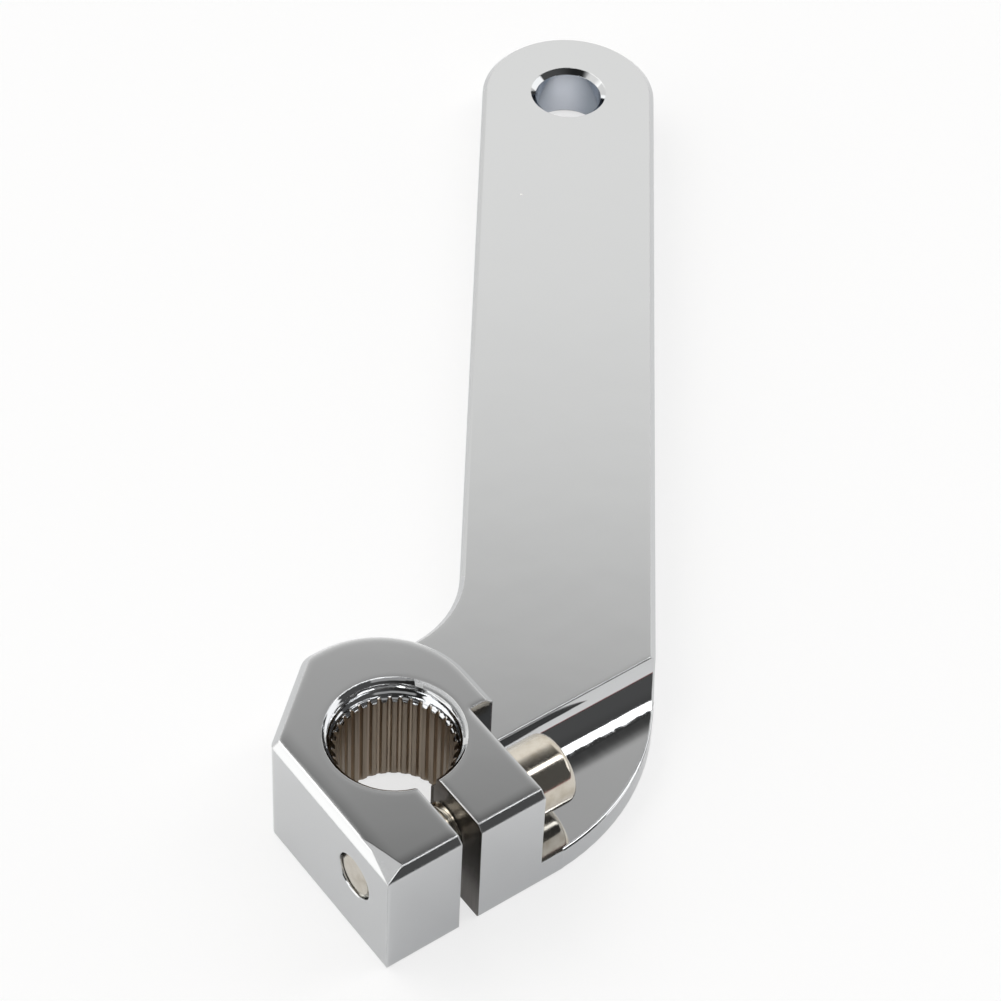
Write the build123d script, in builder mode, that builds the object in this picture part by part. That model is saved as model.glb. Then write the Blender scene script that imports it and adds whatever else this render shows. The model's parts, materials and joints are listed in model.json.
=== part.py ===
from build123d import *
from math import cos, radians, sin, tan
import os

# Gear shift lever: a flat arm with a peg hole at its free end and a split, serrated clamp at
# the other, drawn tight on its shaft by one pinch bolt.
# Millimetres. The origin is on the bore axis at the back face, +Z runs out of the clamp's
# front, +X is the pinch bolt's axis towards its head, and the slit opens towards -Y.

# Arm
arm_width = 26.2
arm_thickness = 8.6
arm_heading = 52.65         # direction of the arm's edges, degrees from +X
peg_distance = 136.2        # bore axis to peg hole axis
peg_bearing = 44.12         # direction of the peg hole from the bore, degrees from +X
peg_hole_diameter = 10.0
peg_hole_chamfer = 0.75
arm_edge_bevel = 0.7
neck_heading = 3.0          # direction of the edge between the clamp and the inner corner
inner_corner_radius = 14.5
back_edge_bevel = 0.3

# Serrated bore
tooth_count = 36
tooth_tip_diameter = 14.9
tooth_depth = 0.5
groove_mouth = 0.72
groove_floor = 0.30
relief_clearance = 0.6      # radial, between the tooth roots and the plain relief in front
relief_wall = 0.8           # length of that relief
front_lead_in = 0.6         # chamfer at the relief's mouth
tooth_lead_in = 55.0        # degrees, slope of the cone from the relief down to the tooth tips
back_lead_in = 0.8

# Clamp block, its walls measured from the tooth roots
block_height = 18.25
side_wall = 5.65            # to the left face
boss_wall = 5.60            # to the right side
crown_wall = 9.15           # to the far side
crown_radius = 13.4
corner_cut_side = 9.6       # flat across the far left corner, length taken off the left face
corner_cut_round = 3.0      # where the flat runs into the far side
crown_flat = 2.45           # straight stretch of the far side, up to the flat
left_edge_round = 1.5       # where it meets the left face
block_chamfer = 0.95

# Slit
slit_width = 2.95
slit_shift = -1.15          # slit centre from the bore axis, along X

# Pinch bolt
thread_diameter = 6.35
thread_clearance = 0.05     # radial, between the bolt and its tapped hole
shank_clearance = 0.2       # radial, in the plain hole of the right ear
hole_mouth_chamfer = 0.15
head_diameter = 9.8
head_height = 7.45
head_round = 1.2
socket_across_flats = 4.76
socket_depth = 3.4
bolt_end_chamfer = 0.35
bolt_end_recess = 0.3       # end of the bolt inside the left face
bolt_offset = 10.94         # bore axis to bolt axis

# Foot and the pocket that gives the bolt head room
foot_thickness = 4.1
foot_corner_radius = 32.7
foot_edge_bevel = 0.3
front_wall = 4.2            # bolt thread to the front face
head_floor_gap = 1.95       # head to the foot's top
head_back_gap = 3.97        # head to the pocket's back wall
seat_wall = 2.05            # tooth roots to the head's seat
pocket_lean = 17.5          # degrees, the pocket's back wall from the upright
pocket_radius = 4.7
pocket_lip_round = 0.3

pick_margin = 0.01          # allowed off a level or a radius when a face or edge is picked

tip_radius = tooth_tip_diameter / 2
root_radius = tip_radius + tooth_depth
relief_radius = root_radius + relief_clearance
thread_radius = thread_diameter / 2
tapped_radius = thread_radius + thread_clearance
head_radius = head_diameter / 2
peg_hole_radius = peg_hole_diameter / 2

left_x = -(root_radius + side_wall)
right_x = root_radius + boss_wall
crown_y = root_radius + crown_wall
corner_cut_top = right_x - crown_radius - crown_flat - left_x
seat_x = root_radius + seat_wall
bolt_y = -bolt_offset
bolt_z = foot_thickness + head_floor_gap + head_radius
front_y = bolt_y - thread_radius - front_wall
pocket_y = bolt_y + head_radius + head_back_gap
relief_z = block_height - front_lead_in - relief_wall
tooth_tip_z = relief_z - (relief_radius - tip_radius) * tan(radians(tooth_lead_in))
pocket_corner_y = pocket_y - (arm_thickness - foot_thickness) * tan(radians(pocket_lean))


def direction(degrees):
    return Vector(cos(radians(degrees)), sin(radians(degrees)))


def meet(start, along, other, other_along):
    """Point where the line through start meets the line through other."""
    return start + along * ((other - start).cross(other_along).Z / along.cross(other_along).Z)


heading = direction(arm_heading)
leftward = direction(arm_heading + 90)
peg_axis = direction(peg_bearing) * peg_distance
arm_tip = peg_axis + heading * (arm_width / 2)
outer_tangent = peg_axis - leftward * (arm_width / 2)
inner_tangent = peg_axis + leftward * (arm_width / 2)
crown_start = Vector(right_x - crown_radius, crown_y)
front_start = Vector(crown_start.X, front_y)
foot_corner = meet(outer_tangent, heading, front_start, direction(0))
inner_corner = meet(inner_tangent, heading, crown_start, direction(neck_heading))

# Arm and foot, one flat outline with a half-round end about the peg hole
with BuildPart() as arm_blank:
    with BuildSketch() as arm_outline:
        with BuildLine():
            Polyline(crown_start, front_start, foot_corner, outer_tangent)
            ThreePointArc(outer_tangent, arm_tip, inner_tangent)
            Polyline(inner_tangent, inner_corner, crown_start)
        make_face()
        foot_vertex = arm_outline.vertices().sort_by_distance(foot_corner)[0]
        fillet(foot_vertex, radius=foot_corner_radius)
        inner_vertex = arm_outline.vertices().sort_by_distance(inner_corner)[0]
        fillet(inner_vertex, radius=inner_corner_radius)
    extrude(amount=arm_thickness)
    chamfer(arm_blank.faces().sort_by(Axis.Z)[-1].edges(), length=arm_edge_bevel)

# Clamp block: square at the slit, rounded at one far corner and cut flat at the other
with BuildPart() as clamp_block:
    with BuildSketch() as block_outline:
        with Locations(((left_x + right_x) / 2, (front_y + crown_y) / 2)):
            Rectangle(right_x - left_x, crown_y - front_y)
        round_corner = block_outline.vertices().sort_by_distance((right_x, crown_y))[0]
        fillet(round_corner, radius=crown_radius)
        cut_corner = block_outline.vertices().sort_by_distance((left_x, crown_y))[0]
        left_edge = block_outline.edges().sort_by(Axis.X)[0]
        chamfer(cut_corner, length=corner_cut_side, length2=corner_cut_top, reference=left_edge)
        cut_top_end = (left_x + corner_cut_top, crown_y)
        cut_side_end = (left_x, crown_y - corner_cut_side)
        fillet(block_outline.vertices().sort_by_distance(cut_top_end)[0], radius=corner_cut_round)
        fillet(block_outline.vertices().sort_by_distance(cut_side_end)[0], radius=left_edge_round)
    extrude(amount=block_height)
    chamfer(clamp_block.faces().sort_by(Axis.Z)[-1].edges(), length=block_chamfer)

with BuildPart() as lever:
    add(arm_blank.part)
    add(clamp_block.part)
    chamfer(lever.faces().sort_by(Axis.Z)[0].outer_wire().edges(), length=back_edge_bevel)

    # Pocket over the foot: flat floor, back wall leaning out below the arm's top, upright above
    # it, and a hollow where floor and wall meet
    with BuildSketch(Plane.YZ.offset(seat_x)) as pocket_section:
        with BuildLine():
            Polyline(
                (front_y - arm_edge_bevel, foot_thickness),
                (pocket_corner_y, foot_thickness),
                (pocket_y, arm_thickness),
                (pocket_y, block_height),
                (front_y - arm_edge_bevel, block_height),
                close=True,
            )
        make_face()
        inner = pocket_section.vertices().sort_by_distance(
            (seat_x, pocket_corner_y, foot_thickness)
        )[0]
        fillet(inner, radius=pocket_radius)
    extrude(amount=outer_tangent.X - seat_x, mode=Mode.SUBTRACT)

    # Bevel along the foot's curved top edge, and the pocket's straight lip rounded over
    foot_top = lever.faces().filter_by(Axis.Z).filter_by_position(
        Axis.Z, foot_thickness - pick_margin, foot_thickness + pick_margin
    )
    foot_rim = foot_top.edges().sort_by_distance(foot_corner)[0]
    chamfer(foot_rim, length=foot_edge_bevel)
    pocket_lip = (
        lever.edges()
        .filter_by(Axis.X)
        .filter_by_position(Axis.Z, arm_thickness - pick_margin, arm_thickness + pick_margin)
        .sort_by_distance((foot_corner.X, pocket_y, arm_thickness))[0]
    )
    fillet(pocket_lip, radius=pocket_lip_round)

    # Serrated bore: the tooth tips' circle with a groove between each pair of teeth
    with BuildSketch() as serration:
        Circle(tip_radius)
        with PolarLocations(tip_radius, tooth_count):
            Polygon(
                (-tooth_depth, groove_mouth / 2),
                (0, groove_mouth / 2),
                (tooth_depth, groove_floor / 2),
                (tooth_depth, -groove_floor / 2),
                (0, -groove_mouth / 2),
                (-tooth_depth, -groove_mouth / 2),
                align=None,
            )
    extrude(amount=block_height, mode=Mode.SUBTRACT)

    # Lead-in at the back; at the front a chamfer, a plain relief and a cone down to the teeth
    with BuildSketch(Plane.XZ):
        with BuildLine():
            Polyline(
                (0, 0),
                (tip_radius + back_lead_in, 0),
                (tip_radius, back_lead_in),
                (tip_radius, tooth_tip_z),
                (relief_radius, relief_z),
                (relief_radius, block_height - front_lead_in),
                (relief_radius + front_lead_in, block_height),
                (0, block_height),
                close=True,
            )
        make_face()
    revolve(axis=Axis.Z, mode=Mode.SUBTRACT)

    # Slit from the bore to the front face
    with BuildSketch():
        with Locations((slit_shift, 0)):
            Rectangle(slit_width, -front_y, align=(Align.CENTER, Align.MAX))
    extrude(amount=block_height, mode=Mode.SUBTRACT)

    # Pinch bolt holes: tapped in the left ear, plain in the right one
    with BuildSketch(Plane.YZ.offset(left_x)):
        with Locations((bolt_y, bolt_z)):
            Circle(tapped_radius)
    extrude(amount=slit_shift - left_x, mode=Mode.SUBTRACT)
    with BuildSketch(Plane.YZ.offset(slit_shift)):
        with Locations((bolt_y, bolt_z)):
            Circle(thread_radius + shank_clearance)
    extrude(amount=seat_x - slit_shift, mode=Mode.SUBTRACT)
    tapped_mouth = lever.faces().sort_by(Axis.X)[0].inner_wires()[0].edges()
    chamfer(tapped_mouth, length=hole_mouth_chamfer)

    # Peg hole through the arm's free end
    with Locations(Plane(origin=(peg_axis.X, peg_axis.Y, arm_thickness))):
        Hole(peg_hole_radius)
    peg_rims = (
        lever.edges()
        .filter_by(GeomType.CIRCLE)
        .filter_by(lambda rim: abs(rim.radius - peg_hole_radius) < pick_margin)
        .filter_by_position(Axis.X, peg_axis.X - arm_width, peg_axis.X + arm_width)
    )
    chamfer(peg_rims, length=peg_hole_chamfer)

lever.part.label = "lever"

# Pinch bolt: socket head cap screw, its head on the seat and its end short of the left face
with BuildPart() as pinch_bolt:
    with BuildSketch(Plane.YZ.offset(seat_x)):
        with Locations((bolt_y, bolt_z)):
            Circle(head_radius)
    extrude(amount=head_height)
    fillet(pinch_bolt.edges().sort_by(Axis.X)[-1], radius=head_round)
    with BuildSketch(Plane.YZ.offset(seat_x + head_height)):
        with Locations((bolt_y, bolt_z)):
            RegularPolygon(socket_across_flats / 2, 6, major_radius=False)
    extrude(amount=-socket_depth, mode=Mode.SUBTRACT)
    with BuildSketch(Plane.YZ.offset(seat_x)):
        with Locations((bolt_y, bolt_z)):
            Circle(thread_radius)
    extrude(amount=left_x + bolt_end_recess - seat_x)
    chamfer(pinch_bolt.edges().sort_by(Axis.X)[0], length=bolt_end_chamfer)

pinch_bolt.part.label = "pinch_bolt"

os.makedirs("parts", exist_ok=True)
export_step(lever.part, "parts/lever.step")
export_step(pinch_bolt.part, "parts/pinch_bolt.step")
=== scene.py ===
import json
from math import cos, floor, pi, radians, sin

import bmesh
import bpy
from mathutils import Matrix, Vector


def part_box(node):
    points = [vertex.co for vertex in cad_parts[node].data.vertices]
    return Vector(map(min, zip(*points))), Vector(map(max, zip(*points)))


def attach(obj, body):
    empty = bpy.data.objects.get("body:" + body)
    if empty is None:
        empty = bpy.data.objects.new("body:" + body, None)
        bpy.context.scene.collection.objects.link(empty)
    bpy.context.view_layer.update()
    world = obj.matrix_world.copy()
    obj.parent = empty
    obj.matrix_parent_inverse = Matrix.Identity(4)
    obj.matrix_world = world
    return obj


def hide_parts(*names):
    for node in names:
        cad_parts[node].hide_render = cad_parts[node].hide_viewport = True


MM = 0.001

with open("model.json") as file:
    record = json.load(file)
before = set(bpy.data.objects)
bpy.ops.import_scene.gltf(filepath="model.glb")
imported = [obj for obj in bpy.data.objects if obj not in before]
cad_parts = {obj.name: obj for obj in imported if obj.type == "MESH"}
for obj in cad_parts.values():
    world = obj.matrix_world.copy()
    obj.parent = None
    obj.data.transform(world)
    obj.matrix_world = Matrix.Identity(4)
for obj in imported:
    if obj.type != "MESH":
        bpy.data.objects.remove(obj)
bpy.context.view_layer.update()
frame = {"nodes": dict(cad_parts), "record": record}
LEVER = frame["nodes"]["lever"]
MOUNTS = {mount["name"]: mount for mount in frame["record"]["mounts"]}

# Places on the lever, in millimetres, worked out from the frame where it has them
LEVER_LOW, LEVER_HIGH = (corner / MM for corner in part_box("lever"))
BLOCK_TOP = LEVER_HIGH.z
BLOCK_LEFT = LEVER_LOW.x
BLOCK_FRONT = -18.3
BLOCK_RIGHT = 13.55
CHAMFER = 0.95              # along the block's upper left edge
FRONT_CHAMFER = 0.9         # and its upper front edge
BORE_TIP_RADIUS = MOUNTS["spline_bore"]["dims"]["r_mm"]
BORE_ROOT_RADIUS = BORE_TIP_RADIUS + 0.5
BORE_MOUTH_RADIUS = BORE_ROOT_RADIUS + 1.2
TOOTH_TOP = BLOCK_TOP - 2.9
SLIT_X = -1.15
SLIT_HALF = 1.475
SLIT_BACK = -6.4            # y at the back end of its mask, a little inside the bore
FOOT_TOP = 4.1
ARM_TOP = 8.6
POCKET_FOOT = -7.0
EYE = Vector(MOUNTS["peg_hole"]["pos_m"]) / MM
EYE_RADIUS = MOUNTS["peg_hole"]["dims"]["r_mm"]
FOOT_SIDE = BLOCK_RIGHT - 4.0   # x past which the masks of the foot and its hollow hold
MARGIN = 0.1                # from a face or an edge to the end of the mask beside it
THIN = 0.01                 # the same where the mask ends on the face itself

# Places on the bolt
BOLT_LOW, BOLT_HIGH = (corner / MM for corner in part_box("pinch_bolt"))
BOLT_Y = (BOLT_LOW.y + BOLT_HIGH.y) / 2
BOLT_Z = (BOLT_LOW.z + BOLT_HIGH.z) / 2
HEAD_RADIUS = (BOLT_HIGH.y - BOLT_LOW.y) / 2
HEAD_HEIGHT = 7.45
HEAD_SEAT = BOLT_HIGH.x - HEAD_HEIGHT


# Camera

CAMERA_PLACE = Vector((-157.35, -221.19, 355.71)) * MM
CAMERA_HEADING = 52.104     # degrees from +X, the way the camera looks
CAMERA_PITCH = 47.289       # degrees below the horizon
CAMERA_ROLL = 2.88
CAMERA_LENS = 124.65        # millimetres
SENSOR_WIDTH = 36
CLIP = (0.01, 20)           # metres


def make_camera():
    heading = radians(CAMERA_HEADING)
    pitch = radians(CAMERA_PITCH)
    roll = radians(CAMERA_ROLL)
    ahead = Vector((cos(pitch) * cos(heading), cos(pitch) * sin(heading), -sin(pitch)))
    level = Vector((sin(heading), -cos(heading), 0))
    upward = level.cross(ahead)
    right = level * cos(roll) + upward * sin(roll)
    up = right.cross(ahead)
    data = bpy.data.cameras.new("camera")
    data.lens = CAMERA_LENS
    data.sensor_width = SENSOR_WIDTH
    data.clip_start, data.clip_end = CLIP
    camera = bpy.data.objects.new("camera", data)
    bpy.context.scene.collection.objects.link(camera)
    turn = Matrix((right, up, -ahead)).transposed().to_4x4()
    camera.matrix_world = Matrix.Translation(CAMERA_PLACE) @ turn
    bpy.context.scene.camera = camera


# Node helpers

CURVE_TOP = 2.0             # highest level that a curve can hold
ROUNDING_RAYS = 4


class Tree:
    """A node tree with short calls for the nodes that the materials share."""

    def __init__(self, owner):
        owner.use_nodes = True
        self.tree = owner.node_tree
        self.tree.nodes.clear()

    def node(self, kind, **settings):
        made = self.tree.nodes.new(kind)
        for name, value in settings.items():
            setattr(made, name, value)
        return made

    def link(self, source, target):
        self.tree.links.new(source, target)

    def put(self, target, value):
        """Sets a socket to a number or colour, or links another socket to it."""
        if isinstance(value, bpy.types.NodeSocket):
            self.link(value, target)
        else:
            target.default_value = value

    def math(self, operation, a, b=0.0):
        made = self.node("ShaderNodeMath", operation=operation)
        self.put(made.inputs[0], a)
        self.put(made.inputs[1], b)
        return made.outputs[0]

    def times(self, a, b):
        return self.math("MULTIPLY", a, b)

    def plus(self, a, b):
        return self.math("ADD", a, b)

    def minus(self, a, b):
        return self.math("SUBTRACT", a, b)

    def vector(self, operation, a, b=(0, 0, 0)):
        made = self.node("ShaderNodeVectorMath", operation=operation)
        self.put(made.inputs[0], a)
        self.put(made.inputs[1], b)
        return made.outputs["Value" if operation in ("DOT_PRODUCT", "LENGTH") else "Vector"]

    def scaled(self, vector, factor):
        made = self.node("ShaderNodeVectorMath", operation="SCALE")
        self.put(made.inputs[0], vector)
        self.put(made.inputs["Scale"], factor)
        return made.outputs["Vector"]

    def split(self, vector):
        made = self.node("ShaderNodeSeparateXYZ")
        self.link(vector, made.inputs[0])
        return made.outputs["X"], made.outputs["Y"], made.outputs["Z"]

    def join(self, x, y, z):
        made = self.node("ShaderNodeCombineXYZ")
        for target, value in zip(made.inputs, (x, y, z)):
            self.put(target, value)
        return made.outputs[0]

    def stretched(self, axes, factors):
        """Vector from three axes, each times its own factor."""
        return self.join(*(self.times(axis, factor) for axis, factor in zip(axes, factors)))

    def ramp(self, value, low, high, to_low=0.0, to_high=1.0):
        """Smooth step of a value from low to high."""
        made = self.node("ShaderNodeMapRange", interpolation_type="SMOOTHSTEP")
        self.put(made.inputs["Value"], value)
        made.inputs["From Min"].default_value = low
        made.inputs["From Max"].default_value = high
        made.inputs["To Min"].default_value = to_low
        made.inputs["To Max"].default_value = to_high
        return made.outputs["Result"]

    def below(self, value, low, high):
        """1 under low, 0 over high."""
        return self.ramp(value, low, high, 1.0, 0.0)

    def within(self, value, low, high, soft):
        """1 between low and high, 0 outside, with soft ends."""
        rise = self.ramp(value, low - soft, low + soft)
        fall = self.below(value, high - soft, high + soft)
        return self.times(rise, fall)

    def both(self, *masks):
        """Where all the masks are 1."""
        result = masks[0]
        for mask in masks[1:]:
            result = self.times(result, mask)
        return result

    def curve(self, value, points):
        """Level of a value through (value, level) points, straight between them."""
        made = self.node("ShaderNodeFloatCurve")
        low = points[0][0]
        high = points[-1][0]
        span = self.node("ShaderNodeMapRange")
        self.put(span.inputs["Value"], value)
        span.inputs["From Min"].default_value = low
        span.inputs["From Max"].default_value = high
        self.link(span.outputs["Result"], made.inputs["Value"])
        line = made.mapping.curves[0]
        while len(line.points) < len(points):
            line.points.new(0.5, 0.5)
        for point, (place, level) in zip(line.points, points):
            point.location = ((place - low) / (high - low), level / CURVE_TOP)
            point.handle_type = "VECTOR"
        made.mapping.update()
        return self.times(made.outputs[0], CURVE_TOP)

    def mix(self, factor, a, b):
        """Colour a, or b where the factor is 1."""
        made = self.node("ShaderNodeMix", data_type="RGBA")
        self.put(made.inputs["Factor"], factor)
        self.put(made.inputs[6], a)
        self.put(made.inputs[7], b)
        return made.outputs[2]

    def noise(self, vector, scale, detail=2.0, roughness=0.5):
        made = self.node("ShaderNodeTexNoise")
        self.put(made.inputs["Vector"], vector)
        made.inputs["Scale"].default_value = scale
        made.inputs["Detail"].default_value = detail
        made.inputs["Roughness"].default_value = roughness
        return made.outputs["Fac"]

    def bump(self, height, depth, normal=None, strength=1.0):
        """Normal after relief of the given depth, in metres, where height runs from 0 to 1."""
        made = self.node("ShaderNodeBump")
        self.put(made.inputs["Strength"], strength)
        made.inputs["Distance"].default_value = depth
        self.link(height, made.inputs["Height"])
        if normal is not None:
            self.link(normal, made.inputs["Normal"])
        return made.outputs["Normal"]

    def rounded(self, radius):
        """Normal with the edges rounded over."""
        made = self.node("ShaderNodeBevel", samples=ROUNDING_RAYS)
        self.put(made.inputs["Radius"], radius)
        return made.outputs["Normal"]

    def leaned(self, normal, direction, amount):
        """Normal moved along a direction by an amount."""
        return self.vector("ADD", normal, self.scaled(direction, amount))

    def turned_to(self, normal, other, share):
        """Normal of which a share is another one."""
        return self.leaned(normal, self.vector("SUBTRACT", other, normal), share)

    def metal(self, colour, roughness, normal):
        shader = self.node("ShaderNodeBsdfPrincipled")
        shader.inputs["Metallic"].default_value = 1.0
        self.link(colour, shader.inputs["Base Color"])
        self.link(roughness, shader.inputs["Roughness"])
        self.link(normal, shader.inputs["Normal"])
        out = self.node("ShaderNodeOutputMaterial")
        self.link(shader.outputs[0], out.inputs["Surface"])


def grey(value):
    return (value, value, value, 1)


# Studio: what the metal mirrors

ROOM = 0.10                 # dim room in front of the object
ROOM_MIDDLE = (-60, 12)     # azimuth and elevation where it is lightest
ROOM_FADE = (0.2, 0.95)     # cosines from there over which it darkens
ROOM_DIMMED = 0.25          # and the share of its brightness that is left
KEY = 1.65                  # brightness of the panel on the left
FILL = 1.5                  # brightness of the panel on the right
BACK = 2.5                  # brightness of the high panel behind
SIDE = 0.45                 # brightness of the dim panel in front on the left
STRIP = 4.85                # brightness of the long panel overhead
CEILING = 0.85              # brightness of the ceiling beside it

# Upright panels: azimuth, elevation, half width and half height in tangents, softness
KEY_PANEL = (157, 22, 0.62, 0.37, 0.03)
FILL_PANEL = (-16, 18, 0.445, 0.22, 0.03)
BACK_PANEL = (112, 50, 0.35, 0.30, 0.03)
SIDE_PANEL = (-124, 33, 0.55, 0.15, 0.05)
PANEL_AHEAD = (0.0, 0.02)   # cosines from a panel's middle under which it ends
KEY_FADE = (0.37, 0.56)     # heights over which the key panel dims
KEY_DIMMED = 0.6            # and the share of its brightness that is left

# Level panels overhead: low and high x, low and high y in tangents from straight up, softness
STRIP_PANEL = (-0.45, 1.50, -0.365, -0.16, 0.015)
CEILING_PANEL = (-0.70, 0.06, -0.02, 1.10, 0.10)
OVERHEAD = (0.1, 0.2)       # heights under which they end

# Least divisors, which keep the tangents finite
LEAST_COSINE = 0.001
LEAST_HEIGHT = 0.05

# Pale backdrop behind, darkening upwards through points of height and level
BACKDROP_MIDDLE = (88, 0)
BACKDROP_FADE = (-0.12, 0.30)
BACKDROP = [
    (0.00, 0.98), (0.40, 1.10), (0.66, 1.14), (0.69, 1.10), (0.715, 1.01), (0.73, 0.94),
    (0.745, 0.84), (0.765, 0.69), (0.78, 0.57), (0.80, 0.52), (0.82, 0.42), (0.84, 0.33),
    (0.86, 0.25), (0.90, 0.14), (1.00, 0.10),
]
WARM = (1.0, 0.99, 0.97, 1)

# Dark red edge along the horizon in front
EDGE_RED = (0.34, 0.02, 0.02, 1)
EDGE_MIDDLE = (-85, 0)
EDGE_FADE = (0.55, 0.7)
EDGE_HEIGHTS = (-0.01, 0.022, 0.004)    # low, high and softness


def toward(azimuth, elevation):
    """Unit vector; azimuth in degrees from +X, elevation above the horizon."""
    a = radians(azimuth)
    e = radians(elevation)
    return Vector((cos(e) * cos(a), cos(e) * sin(a), sin(e)))


def make_world():
    world = bpy.data.worlds.new("studio")
    bpy.context.scene.world = world
    t = Tree(world)
    ray = t.node("ShaderNodeTexCoord").outputs["Generated"]
    across, along, height = t.split(ray)

    def cosine(middle):
        """How closely the ray points at an azimuth and elevation."""
        return t.vector("DOT_PRODUCT", ray, toward(*middle))

    def panel(azimuth, elevation, half_width, half_height, soft):
        """Mask of an upright panel."""
        middle = toward(azimuth, elevation)
        side = toward(azimuth + 90, 0)
        rise = middle.cross(side)
        front = t.vector("DOT_PRODUCT", ray, middle)
        ahead = t.math("MAXIMUM", front, LEAST_COSINE)
        width = t.math("DIVIDE", t.vector("DOT_PRODUCT", ray, side), ahead)
        reach = t.math("DIVIDE", t.vector("DOT_PRODUCT", ray, rise), ahead)
        return t.both(
            t.within(width, -half_width, half_width, soft),
            t.within(reach, -half_height, half_height, soft),
            t.ramp(front, *PANEL_AHEAD),
        )

    def ceiling(x_low, x_high, y_low, y_high, soft):
        """Mask of a level panel overhead."""
        up = t.math("MAXIMUM", height, LEAST_HEIGHT)
        return t.both(
            t.within(t.math("DIVIDE", across, up), x_low, x_high, soft),
            t.within(t.math("DIVIDE", along, up), y_low, y_high, soft),
            t.ramp(height, *OVERHEAD),
        )

    behind = t.ramp(cosine(BACKDROP_MIDDLE), *BACKDROP_FADE)
    room = t.ramp(cosine(ROOM_MIDDLE), *ROOM_FADE, ROOM * ROOM_DIMMED, ROOM)
    level = t.plus(
        t.times(behind, t.curve(height, BACKDROP)),
        t.times(t.minus(1.0, behind), room),
    )
    for light in (
        t.times(panel(*KEY_PANEL), t.ramp(height, *KEY_FADE, KEY, KEY * KEY_DIMMED)),
        t.times(panel(*FILL_PANEL), FILL),
        t.times(panel(*BACK_PANEL), BACK),
        t.times(ceiling(*STRIP_PANEL), STRIP),
        t.times(ceiling(*CEILING_PANEL), CEILING),
        t.times(panel(*SIDE_PANEL), SIDE),
    ):
        level = t.math("MAXIMUM", level, light)
    colour = t.scaled(t.mix(behind, grey(1.0), WARM), level)
    edge = t.both(t.within(height, *EDGE_HEIGHTS), t.ramp(cosine(EDGE_MIDDLE), *EDGE_FADE))
    seen = t.mix(edge, colour, EDGE_RED)
    # The camera sees plain white behind the floor
    path = t.node("ShaderNodeLightPath")
    shown = t.mix(path.outputs["Is Camera Ray"], seen, grey(1.0))
    background = t.node("ShaderNodeBackground")
    t.link(shown, background.inputs["Color"])
    out = t.node("ShaderNodeOutputWorld")
    t.link(background.outputs[0], out.inputs["Surface"])


FLOOR_SIZE = 3.0
FLOOR_DROP = 0.05 * MM      # under the object, so that their faces don't share a plane
FLOOR_PAPER = 0.95
FLOOR_WHITE = 0.7           # share of plain white that the floor shows the camera
FLOOR_MIRRORED = 0.20       # and the metal


def make_floor():
    mesh = bpy.data.meshes.new("floor")
    half = FLOOR_SIZE / 2
    corners = [(-half, -half, 0), (half, -half, 0), (half, half, 0), (-half, half, 0)]
    mesh.from_pydata(corners, [], [(0, 1, 2, 3)])
    base = bpy.data.objects.new("floor", mesh)
    bpy.context.scene.collection.objects.link(base)
    base.location.z = -FLOOR_DROP
    material = bpy.data.materials.new("floor_paper")
    t = Tree(material)
    paper = t.node("ShaderNodeBsdfDiffuse")
    paper.inputs["Color"].default_value = grey(FLOOR_PAPER)
    white = t.node("ShaderNodeEmission")
    white.inputs["Color"].default_value = grey(1.0)
    path = t.node("ShaderNodeLightPath")
    direct = t.times(path.outputs["Is Camera Ray"], FLOOR_WHITE)
    mirrored = t.times(path.outputs["Is Glossy Ray"], FLOOR_MIRRORED)
    blend = t.node("ShaderNodeMixShader")
    t.link(t.math("MAXIMUM", direct, mirrored), blend.inputs["Fac"])
    t.link(paper.outputs[0], blend.inputs[1])
    t.link(white.outputs[0], blend.inputs[2])
    out = t.node("ShaderNodeOutputMaterial")
    t.link(blend.outputs[0], out.inputs["Surface"])
    mesh.materials.append(material)


# Finishes

CHROME = (0.595, 0.605, 0.615, 1)
# The grooves' colour is painted lighter than the lands' to offset the shade between the teeth
SPLINE_LAND = (0.365, 0.307, 0.245, 1)
SPLINE_GROOVE_PAINTED_LIGHT = (0.50, 0.42, 0.335, 1)
SPLINE_GRIME = (0.15, 0.12, 0.095, 1)
SLIT_STEEL = (0.25, 0.235, 0.22, 1)
SLIT_SHADE = (0.19, 0.18, 0.17, 1)
# Painted light and painted shade on the eye's wall, standing in for the floor it mirrors
EYE_PAINTED_LIGHT = (0.78, 0.81, 0.87, 1)
EYE_PAINTED_SHADE = (0.41, 0.455, 0.515, 1)
SPECK = (0.92, 0.92, 0.90, 1)
NICKEL = (0.62, 0.58, 0.51, 1)
NICKEL_DULL = (0.50, 0.45, 0.37, 1)
# Thread's nickel, painted lighter to offset the shade that falls on it
THREAD_PAINTED_LIGHT_NICKEL = (0.82, 0.78, 0.70, 1)

# How a face of the lever lies, by the parts of its normal
UPRIGHT = (0.25, 0.35)      # rises no more than this
SLOPED = (0.6, 0.8, 0.02)   # rises like a chamfer
LEVEL = (0.9, 0.95)         # rises at least so much
SIDEWAYS = (0.7, 0.8)       # points along x at least so much
OUTWARD = (-0.6, -0.5)      # points left or to the front at least so much
FACING_BORE = (0.6, 0.8)    # points to or from the bore's axis at least so much

# Rounding of the lever's edges, radii in millimetres
EDGE_ROUND = 0.12           # everywhere
BLOCK_ROUND = 0.18          # more on the clamp block
CORNER_ROUND = 0.6          # more on the upright edge by the bolt's end, which these three bound:
CORNER_FROM_LEFT = (1.2, 1.6)
CORNER_FROM_FRONT = (1.3, 1.7)
CORNER_FROM_TOP = (2.05, 1.45)
MOUTH_ROUND = 0.05          # more in the bore's mouth
BUFF_ROUND = 1.4            # wide rounding left by buffing
BUFF_SHARE = 0.03           # how much of it shows
BLOCK_BUFF_SHARE = 0.10     # and how much more on the block

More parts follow.
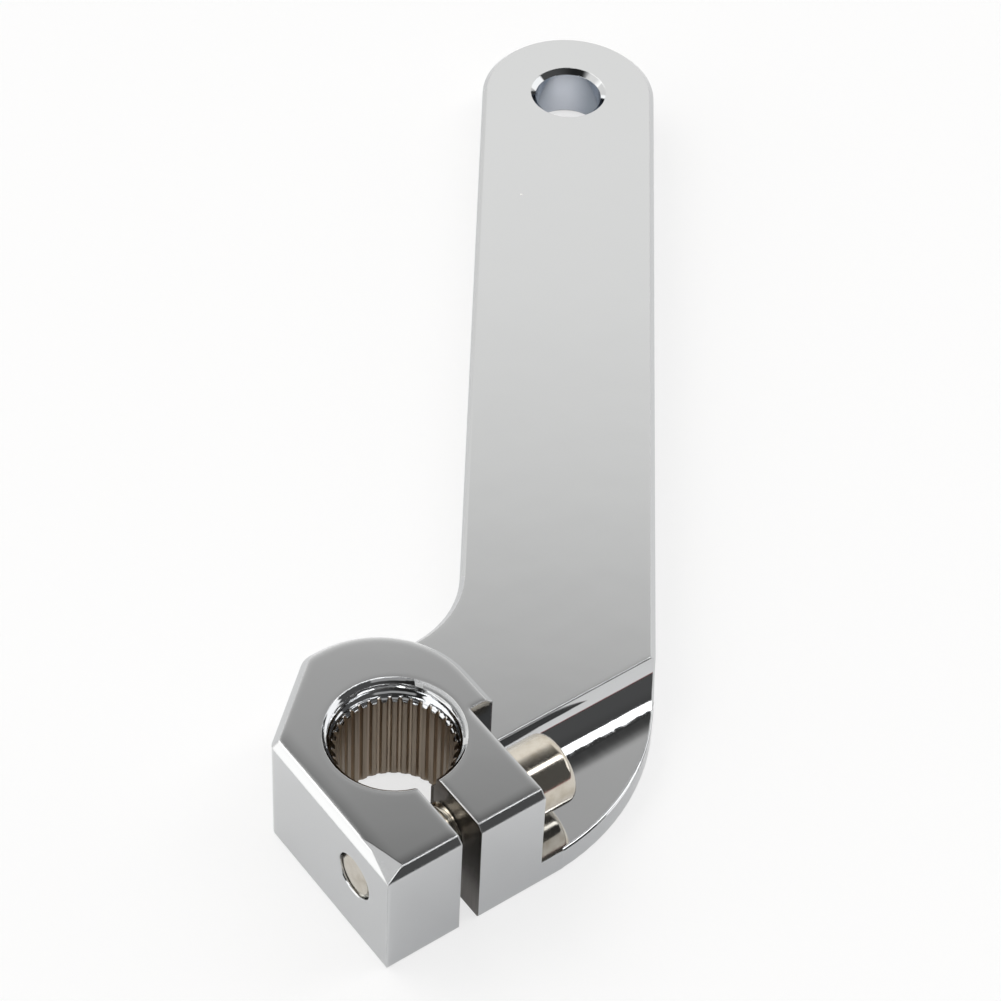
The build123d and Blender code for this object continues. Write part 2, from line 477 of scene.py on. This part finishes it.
# Lean of the normal on the block's top, which is a little crowned
CROWN_TOWARD = (-0.615, -0.788, 0.0)
CROWN = 0.0208              # lean by the bore's axis
CROWN_BY_Y = -0.00072       # and its change for each millimetre
CROWN_BY_X = -0.00024
ROLL_LEFT = 0.05            # lean at its left edge
ROLL_LEFT_FADE = (0.8, 3.4)     # distances from that edge
ROLL_FRONT = 0.045          # and at its front edge
ROLL_FRONT_FADE = (0.7, 2.7)

# Lean of the normal in the hollow and in the bore's mouth
RAGGED = (0.9, 0.25, 0.0)   # stretch of the noise in the hollow and on the worn corner
HOLLOW_PLACE = POCKET_FOOT - 0.2    # y where the hollow leans most
HOLLOW_NEAR = 2.7           # its reach to the front
HOLLOW_FAR = 3.0            # and to the back
HOLLOW_HEIGHTS = (3.0, 3.5)     # above the foot, where it ends
HOLLOW_RISE = (0.4, 0.5)    # its faces' normals rise at least so much
HOLLOW_LEAN = 0.22          # to the front
HOLLOW_UNEVEN = 0.08
MOUTH_LIFT = 0.6            # upward, and more in the streaks
MOUTH_STREAKS = (0.35, 0.35, 2.2)   # stretch of the streaks' noise
STREAK_LEVELS = (0.44, 0.60)

# Corner by the bolt's end, worn off over the top and both chamfers; its ends are the levels
# over which the worn share fades
WORN_NORMAL = Vector((-0.24, -0.20, 1.0)).normalized()
WORN_UNEVEN = 0.12
WORN_TOP_BY_X = 0.50        # how fast it ends along the top, for each millimetre
WORN_TOP_BY_Y = 0.145
WORN_TOP_END = (0.95, 1.10)
WORN_LEFT_LENGTH = 5.0      # reach along the left chamfer
WORN_LEFT_END = (-0.05, 0.10)
WORN_FRONT_LENGTH = 2.8     # and along the front one
WORN_FRONT_END = (-0.05, 0.15)
WORN_HEIGHTS = (4.0, 5.0)   # above the arm, under which it ends

# Foot's rim, which turns over close to its outer edge
RIM_DEPTH = 0.30
RIM_TURNED = (0.54, 0.24)   # share of the outward direction at its foot and at its top

# Relief: noise scales for each metre, depths in millimetres
WAVES_SCALE = 130.0
WAVES_DEPTH = 0.010
PEEL_SCALE = 900.0
PEEL_DEPTH = 0.0006
TURNING_RATE = 9.0          # radians for each millimetre
TURNING_UNEVEN = 0.05
TURNING_DEPTH = 0.013

# Roughness
HAZE_SCALE = 45.0
HAZE_LEVELS = (0.35, 0.75)
HAZE = (0.020, 0.060)
SCRATCH_STRETCH = (0.12, 1.6, 1.0)
SCRATCH_LEVELS = (0.66, 0.74)
SCRATCH_ROUGHNESS = 0.10
TEETH_ROUGHNESS = 0.26
SLIT_ROUGHNESS = 0.22
EYE_ROUGHNESS = 0.16
WORN_ROUGHNESS = 0.22
SPECK_ROUGHNESS = 0.35

# Specks
SPECK_CELLS = 140.0         # cells for each metre
SPECK_CHOSEN = (0.80, 0.82)     # of which the ones over this have a speck
SPECK_SIZE = (0.028, 0.040)     # distances, in cells, over which it ends
SPECK_UNEVEN = 0.02

# Lines along the bore and slit, and the depths over which the teeth's lands turn to the grooves,
# whose colour is painted lighter to offset the shade between the teeth
LINES_STRETCH = (6.0, 6.0, 0.15)
GRIME_LEVELS = (0.45, 0.75)
GRIME_SHARE = 0.45
SLIT_LEVELS = (0.3, 0.7)
GROOVE_DEPTHS = (0.04, 0.25)

# Eye's wall: painted light and shade, palest near the middle of its far side and darker to either
# side
EYE_ACROSS = (0.79, -0.61)
EYE_PALEST = -0.6           # from the hole's axis along that direction
EYE_FADE = (0.4, 5.0)       # distances from there over which it darkens


class LeverPlace:
    """Where a point of the lever is, in millimetres, and what lies there."""

    def __init__(self, t):
        self.place = t.node("ShaderNodeTexCoord").outputs["Object"]
        self.axes = t.split(t.scaled(self.place, 1 / MM))
        x, y, z = self.axes
        flat = t.node("ShaderNodeNewGeometry").outputs["True Normal"]
        self.faces = t.split(flat)
        flat_x, flat_y, flat_z = self.faces
        self.from_left = t.minus(x, BLOCK_LEFT)
        self.from_front = t.minus(y, BLOCK_FRONT)
        from_axis = t.join(x, y, 0.0)
        self.axis_distance = t.vector("LENGTH", from_axis)

        self.upright = t.below(t.math("ABSOLUTE", flat_z), *UPRIGHT)
        self.sloped = t.within(flat_z, *SLOPED)
        self.teeth = t.both(
            t.below(self.axis_distance, BORE_ROOT_RADIUS + MARGIN, BORE_ROOT_RADIUS + 2 * MARGIN),
            t.below(z, TOOTH_TOP + MARGIN, TOOTH_TOP + 5 * MARGIN),
            self.upright,
        )
        self.slit = t.both(
            t.within(x, SLIT_X - SLIT_HALF - MARGIN, SLIT_X + SLIT_HALF + MARGIN, 2 * THIN),
            t.below(y, SLIT_BACK - 2 * MARGIN, SLIT_BACK + 2 * MARGIN),
            self.upright,
            t.ramp(t.math("ABSOLUTE", flat_x), *SIDEWAYS),
        )
        # The mouth leaves out the slit's walls, which don't face the bore's axis
        facing_axis = t.math("DIVIDE", t.vector("DOT_PRODUCT", flat, from_axis), self.axis_distance)
        slit_wall = t.both(self.upright, t.below(t.math("ABSOLUTE", facing_axis), *FACING_BORE))
        self.mouth = t.both(
            t.below(self.axis_distance, BORE_MOUTH_RADIUS, BORE_MOUTH_RADIUS + MARGIN / 2),
            t.ramp(z, TOOTH_TOP - 2 * MARGIN, TOOTH_TOP),
            t.minus(1.0, slit_wall),
        )
        self.hollow = t.both(
            t.ramp(x, FOOT_SIDE, FOOT_SIDE + 5 * MARGIN),
            t.ramp(y, HOLLOW_PLACE - HOLLOW_NEAR, HOLLOW_PLACE),
            t.below(y, HOLLOW_PLACE, HOLLOW_PLACE + HOLLOW_FAR),
            t.below(t.minus(z, FOOT_TOP), *HOLLOW_HEIGHTS),
            t.ramp(flat_z, *HOLLOW_RISE),
        )
        self.block_top = t.both(
            t.ramp(z, BLOCK_TOP - 2 * THIN, BLOCK_TOP - THIN),
            t.ramp(flat_z, *LEVEL),
        )
        self.block = t.both(
            t.ramp(z, ARM_TOP + MARGIN, ARM_TOP + 3 * MARGIN),
            t.ramp(self.axis_distance, BORE_MOUTH_RADIUS, BORE_MOUTH_RADIUS + 4 * MARGIN),
        )
        self.front_corner = t.both(
            t.below(self.from_left, *CORNER_FROM_LEFT),
            t.below(self.from_front, *CORNER_FROM_FRONT),
            t.below(z, *(BLOCK_TOP - depth for depth in CORNER_FROM_TOP)),
        )
        self.rim = t.both(
            t.within(z, FOOT_TOP - RIM_DEPTH - THIN, FOOT_TOP + THIN, THIN / 2),
            self.sloped,
            t.ramp(x, FOOT_SIDE, FOOT_SIDE + MARGIN),
        )
        self.from_eye = (t.minus(x, EYE.x), t.minus(y, EYE.y))
        eye_distance = t.vector("LENGTH", t.join(*self.from_eye, 0.0))
        self.eye_wall = t.both(
            t.below(eye_distance, EYE_RADIUS + MARGIN / 2, EYE_RADIUS + MARGIN),
            self.upright,
        )
        self.ragged = t.noise(t.stretched(self.axes, RAGGED), scale=1.0, detail=3.0)
        self.worn = self.worn_corner(t)

    def worn_corner(self, t):
        """Mask of the corner by the bolt's end, its share on the top and on either chamfer."""
        z = self.axes[2]
        flat_x, flat_y, _ = self.faces
        on_top = t.plus(
            t.times(t.minus(self.from_left, CHAMFER), WORN_TOP_BY_X),
            t.times(t.minus(self.from_front, FRONT_CHAMFER), WORN_TOP_BY_Y),
        )
        on_top = t.plus(on_top, t.times(self.ragged, WORN_UNEVEN))
        on_top = t.both(t.below(on_top, *WORN_TOP_END), self.block_top)
        on_left = t.minus(
            t.math("DIVIDE", self.from_left, CHAMFER),
            t.math("DIVIDE", self.from_front, WORN_LEFT_LENGTH),
        )
        on_left = t.both(t.ramp(on_left, *WORN_LEFT_END), self.sloped, t.below(flat_x, *OUTWARD))
        on_front = t.minus(
            t.math("DIVIDE", t.minus(z, BLOCK_TOP - CHAMFER), CHAMFER),
            t.math("DIVIDE", self.from_left, WORN_FRONT_LENGTH),
        )
        on_front = t.both(t.ramp(on_front, *WORN_FRONT_END), self.sloped, t.below(flat_y, *OUTWARD))
        anywhere = t.math("MAXIMUM", on_top, t.math("MAXIMUM", on_left, on_front))
        return t.both(anywhere, t.ramp(t.minus(z, ARM_TOP), *WORN_HEIGHTS))


def lever_normal(t, at):
    """Normal of the buffed lever, without its finer relief."""
    x, y, z = at.axes
    radius = t.plus(EDGE_ROUND * MM, t.times(at.block, BLOCK_ROUND * MM))
    radius = t.plus(radius, t.times(at.front_corner, CORNER_ROUND * MM))
    radius = t.plus(radius, t.times(at.mouth, MOUTH_ROUND * MM))
    share = t.plus(BUFF_SHARE, t.times(at.block, BLOCK_BUFF_SHARE))
    normal = t.turned_to(t.rounded(radius), t.rounded(BUFF_ROUND * MM), share)

    lean = t.plus(CROWN, t.plus(t.times(y, CROWN_BY_Y), t.times(x, CROWN_BY_X)))
    normal = t.leaned(normal, CROWN_TOWARD, t.times(lean, at.block_top))
    edge_roll = t.join(
        t.ramp(at.from_left, *ROLL_LEFT_FADE, -ROLL_LEFT, 0.0),
        t.ramp(at.from_front, *ROLL_FRONT_FADE, -ROLL_FRONT, 0.0),
        0.0,
    )
    normal = t.leaned(normal, edge_roll, at.block_top)

    uneven = t.plus(HOLLOW_LEAN, t.times(at.ragged, HOLLOW_UNEVEN))
    normal = t.leaned(normal, (0.0, -1.0, 0.0), t.times(at.hollow, uneven))
    streaks = t.noise(t.stretched(at.axes, MOUTH_STREAKS), scale=1.0, detail=3.0)
    streaks = t.ramp(streaks, *STREAK_LEVELS)
    lift = t.times(t.plus(MOUTH_LIFT, streaks), t.both(at.mouth, at.upright))
    normal = t.leaned(normal, (0.0, 0.0, 1.0), lift)
    normal = t.turned_to(normal, WORN_NORMAL, at.worn)

    flat_x, flat_y, _ = at.faces
    outward = t.vector("NORMALIZE", t.join(flat_x, flat_y, 0.0))
    turned = t.ramp(z, FOOT_TOP - RIM_DEPTH, FOOT_TOP - 2 * THIN, *RIM_TURNED)
    rolled = t.leaned(t.scaled(outward, turned), (0.0, 0.0, 1.0), t.minus(1.0, turned))
    return t.vector("NORMALIZE", t.turned_to(normal, rolled, at.rim))


def lever_chrome():
    """Polished plate outside; duller and browner on the teeth, with their grooves painted lighter,
    and in the slit; painted light and shade on the eye's wall.
    """
    material = bpy.data.materials.new("lever_chrome")
    t = Tree(material)
    at = LeverPlace(t)

    # Slow waves of polished plate, finer peel, and turning rings in the bore's mouth
    waves = t.noise(at.place, WAVES_SCALE, detail=1.0)
    normal = t.bump(waves, WAVES_DEPTH * MM, lever_normal(t, at))
    peel = t.noise(at.place, PEEL_SCALE, detail=2.0)
    normal = t.bump(peel, PEEL_DEPTH * MM, normal)
    height = t.plus(at.axes[2], t.times(peel, TURNING_UNEVEN))
    turning = t.math("SINE", t.times(height, TURNING_RATE))
    normal = t.bump(turning, TURNING_DEPTH * MM, normal, at.mouth)

    # Faint haze, hairline scratches and specks
    cells = t.node("ShaderNodeTexVoronoi", feature="F1")
    t.link(at.place, cells.inputs["Vector"])
    cells.inputs["Scale"].default_value = SPECK_CELLS
    tone = t.node("ShaderNodeSeparateColor")
    t.link(cells.outputs["Color"], tone.inputs[0])
    speck = t.both(
        t.below(t.plus(cells.outputs["Distance"], t.times(peel, SPECK_UNEVEN)), *SPECK_SIZE),
        t.ramp(tone.outputs["Red"], *SPECK_CHOSEN),
    )
    haze = t.noise(at.place, HAZE_SCALE, detail=5.0, roughness=0.6)
    haze = t.ramp(haze, *HAZE_LEVELS, *HAZE)
    hairlines = t.stretched(at.axes, SCRATCH_STRETCH)
    hairlines = t.noise(hairlines, scale=3.0, detail=6.0, roughness=0.7)
    roughness = t.plus(haze, t.ramp(hairlines, *SCRATCH_LEVELS, 0.0, SCRATCH_ROUGHNESS))
    for mask, more in (
        (at.teeth, TEETH_ROUGHNESS),
        (at.slit, SLIT_ROUGHNESS),
        (at.eye_wall, EYE_ROUGHNESS),
        (at.worn, WORN_ROUGHNESS),
        (speck, SPECK_ROUGHNESS),
    ):
        roughness = t.plus(roughness, t.times(mask, more))

    # Colours of the teeth, with the grooves painted lighter, the slit, and the eye's wall with
    # painted light and shade
    lines = t.noise(t.stretched(at.axes, LINES_STRETCH), scale=1.0, detail=3.0)
    deep = t.ramp(t.minus(at.axis_distance, BORE_TIP_RADIUS), *GROOVE_DEPTHS)
    # Painted light: the grooves are coloured lighter than the lands
    steel = t.mix(deep, SPLINE_LAND, SPLINE_GROOVE_PAINTED_LIGHT)
    steel = t.mix(t.ramp(lines, *GRIME_LEVELS, 0.0, GRIME_SHARE), steel, SPLINE_GRIME)
    sawn = t.mix(t.ramp(lines, *SLIT_LEVELS), SLIT_STEEL, SLIT_SHADE)
    sideways = t.plus(*(t.times(part, way) for part, way in zip(at.from_eye, EYE_ACROSS)))
    shade = t.ramp(t.math("ABSOLUTE", t.minus(sideways, EYE_PALEST)), *EYE_FADE)
    colour = t.mix(speck, CHROME, SPECK)
    colour = t.mix(at.teeth, colour, steel)
    colour = t.mix(at.slit, colour, sawn)
    # Painted light and shade on the eye's wall, palest in the middle of its far side
    colour = t.mix(at.eye_wall, colour, t.mix(shade, EYE_PAINTED_LIGHT, EYE_PAINTED_SHADE))
    t.metal(colour, roughness, normal)
    return material


# Finish of the bolt
BOLT_EDGE_ROUND = 0.08
BLOTCH_SCALE = 380.0
BLOTCH_LEVELS = (0.40, 0.75)
FINE_SCALE = 2500.0
FINE_DEPTH = 0.0010
DRAWN_STRETCH = (0.25, 3.0, 3.0)
DRAWN_DEPTH = 0.003
PLAIN_END = 0.5             # length of the bolt's end without the thread's painted lighter colour
UNEVEN_LEVELS = (0.3, 0.7)
BOLT_ROUGHNESS = (0.09, 0.20)
THREAD_ROUGHNESS = 0.08


def bolt_nickel():
    """Bright nickel over a turned and rolled surface, a little uneven, with its thread painted
    lighter against the shade on it.
    """
    material = bpy.data.materials.new("bolt_nickel")
    t = Tree(material)
    place = t.node("ShaderNodeTexCoord").outputs["Object"]
    axes = t.split(t.scaled(place, 1 / MM))
    x = axes[0]
    blotch = t.noise(place, BLOTCH_SCALE, detail=4.0, roughness=0.6)
    fine = t.noise(place, FINE_SCALE, detail=3.0, roughness=0.6)
    drawn = t.noise(t.stretched(axes, DRAWN_STRETCH), scale=1.0, detail=4.0)
    normal = t.rounded(BOLT_EDGE_ROUND * MM)
    normal = t.bump(drawn, DRAWN_DEPTH * MM, normal)
    normal = t.bump(fine, FINE_DEPTH * MM, normal)
    thread = t.below(x, THREAD_START, THREAD_START + MARGIN)
    plain_x = BOLT_LOW.x + PLAIN_END
    behind_end = t.ramp(x, plain_x, plain_x + MARGIN)
    colour = t.mix(t.ramp(blotch, *BLOTCH_LEVELS), NICKEL, NICKEL_DULL)
    # Painted light: the thread is coloured lighter than the rest, to offset the shade that falls on
    # it
    colour = t.mix(t.both(thread, behind_end), colour, THREAD_PAINTED_LIGHT_NICKEL)
    uneven = t.plus(t.times(fine, 0.5), t.times(blotch, 0.5))
    roughness = t.ramp(uneven, *UNEVEN_LEVELS, *BOLT_ROUGHNESS)
    roughness = t.plus(roughness, t.times(thread, THREAD_ROUGHNESS))
    t.metal(colour, roughness, normal)
    return material


def dress(node, material):
    for slot in node.material_slots:
        slot.material = material


# Bolt with its thread, head edge and socket

THREAD_PITCH = 1.27
THREAD_DEPTH = 0.62
THREAD_CREST = 0.12         # width of the crest's flat
THREAD_START = 8.6          # end of the thread under the head
THREAD_END_GAP = 0.01       # from the bolt's end to the thread's first ring
THREAD_RUNOUT = 0.5
SHANK_RADIUS = 3.17
SHANK_FLARE = (0.3, 0.15)   # length and height of its flare into the head
END_CHAMFER = 0.55
HEAD_SEAT_CHAMFER = 0.25
HEAD_ROUND = 1.2
HEAD_ROUND_STEPS = 12
HEAD_BAND = 3.0             # from its round to the ring half way down its side
SOCKET_FLATS = 4.76
SOCKET_DEPTH = 3.4
SOCKET_CHAMFER = 0.25
SOCKET_FLOOR = (0.02, 1.9)  # depth and radius where its drilled cone starts
SOCKET_TIP = (0.8, 0.02)    # depth and radius where the cone ends
AROUND = 96
STEPS = 14                  # along one pitch
MERGE = 0.5e-6              # metres within which vertices are one
SHARP_ANGLE = 32            # degrees


def thread_radius(along):
    """Radius of the thread's profile at a place along one pitch, 0 to 1."""
    flank = (1 - THREAD_CREST / THREAD_PITCH * 2) / 2
    crest = THREAD_CREST / THREAD_PITCH
    if along < crest:
        return SHANK_RADIUS
    if along < crest + flank:
        return SHANK_RADIUS - THREAD_DEPTH * (along - crest) / flank
    if along < 2 * crest + flank:
        return SHANK_RADIUS - THREAD_DEPTH
    return SHANK_RADIUS - THREAD_DEPTH * (1 - along) / flank


def hexagon_radius(angle):
    sector = pi / 3
    return SOCKET_FLATS / 2 / cos((angle + sector / 2) % sector - sector / 2)


def make_bolt():
    mesh = bmesh.new()

    def ring(place_and_radius):
        """Ring of vertices about the bolt's axis; the call gives (x, radius) for each angle."""
        made = []
        for step in range(AROUND):
            angle = 2 * pi * step / AROUND
            x, radius = place_and_radius(angle)
            spot = Vector((x, BOLT_Y + radius * cos(angle), BOLT_Z + radius * sin(angle)))
            made.append(mesh.verts.new(spot * MM))
        return made

    def skin(rings):
        for one, other in zip(rings, rings[1:]):
            for k in range(AROUND):
                after = (k + 1) % AROUND
                mesh.faces.new((one[k], one[after], other[after], other[k]))

    def turned(x, radius):
        return ring(lambda angle: (x, radius))

    def hexagon(x, larger=0.0):
        return ring(lambda angle: (x, hexagon_radius(angle) + larger))

    end_x = BOLT_LOW.x
    end_radius = SHANK_RADIUS - END_CHAMFER
    root_radius = SHANK_RADIUS - THREAD_DEPTH
    first_x = end_x + THREAD_END_GAP
    turns = (THREAD_START - end_x) / THREAD_PITCH
    rings = [turned(end_x, end_radius)]

    # The thread's rings follow the helix and flatten out against both of its ends
    def threaded(row):
        def place(angle):
            lead = row / STEPS + angle / (2 * pi)
            x = end_x + lead * THREAD_PITCH
            held = min(max(x, first_x), THREAD_START)
            radius = thread_radius((row / STEPS) % 1.0)
            radius = min(radius, end_radius + (held - end_x))
            if held != x:
                radius = end_radius if x < first_x else root_radius
            return held, radius
        return place

    for row in range(-STEPS, floor(turns * STEPS) + STEPS):
        rings.append(ring(threaded(row)))
    flare_length, flare_height = SHANK_FLARE
    round_x = BOLT_HIGH.x - HEAD_ROUND
    rings += [
        turned(THREAD_START, root_radius),
        turned(THREAD_START + THREAD_RUNOUT, SHANK_RADIUS),
        turned(HEAD_SEAT - flare_length, SHANK_RADIUS),
        turned(HEAD_SEAT, SHANK_RADIUS + flare_height),
        turned(HEAD_SEAT, HEAD_RADIUS - HEAD_SEAT_CHAMFER),
        turned(HEAD_SEAT + HEAD_SEAT_CHAMFER, HEAD_RADIUS),
        turned(round_x - HEAD_BAND, HEAD_RADIUS),
    ]
    for step in range(HEAD_ROUND_STEPS + 1):
        bend = pi / 2 * step / HEAD_ROUND_STEPS
        rings.append(turned(
            round_x + HEAD_ROUND * sin(bend),
            HEAD_RADIUS - HEAD_ROUND * (1 - cos(bend)),
        ))
    socket_x = BOLT_HIGH.x - SOCKET_DEPTH
    rings += [
        hexagon(BOLT_HIGH.x, SOCKET_CHAMFER),
        hexagon(BOLT_HIGH.x - SOCKET_CHAMFER),
        hexagon(socket_x),
        turned(socket_x - SOCKET_FLOOR[0], SOCKET_FLOOR[1]),
        turned(socket_x - SOCKET_TIP[0], SOCKET_TIP[1]),
    ]
    skin(rings)
    mesh.faces.new(list(reversed(rings[0])))
    mesh.faces.new(rings[-1])
    bmesh.ops.remove_doubles(mesh, verts=mesh.verts, dist=MERGE)
    bmesh.ops.dissolve_degenerate(mesh, edges=mesh.edges, dist=MERGE)
    bmesh.ops.recalc_face_normals(mesh, faces=mesh.faces)
    for face in mesh.faces:
        face.smooth = True
    for edge in mesh.edges:
        if len(edge.link_faces) == 2 and edge.calc_face_angle(0) > radians(SHARP_ANGLE):
            edge.smooth = False
    data = bpy.data.meshes.new("pinch_bolt_body")
    mesh.to_mesh(data)
    mesh.free()
    data.materials.append(bolt_nickel())
    body = bpy.data.objects.new("pinch_bolt_body", data)
    bpy.context.scene.collection.objects.link(body)
    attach(body, "root")
    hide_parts("pinch_bolt")


make_camera()
make_world()
make_floor()
dress(LEVER, lever_chrome())
make_bolt()

scene = bpy.context.scene
scene.view_settings.view_transform = "Standard"
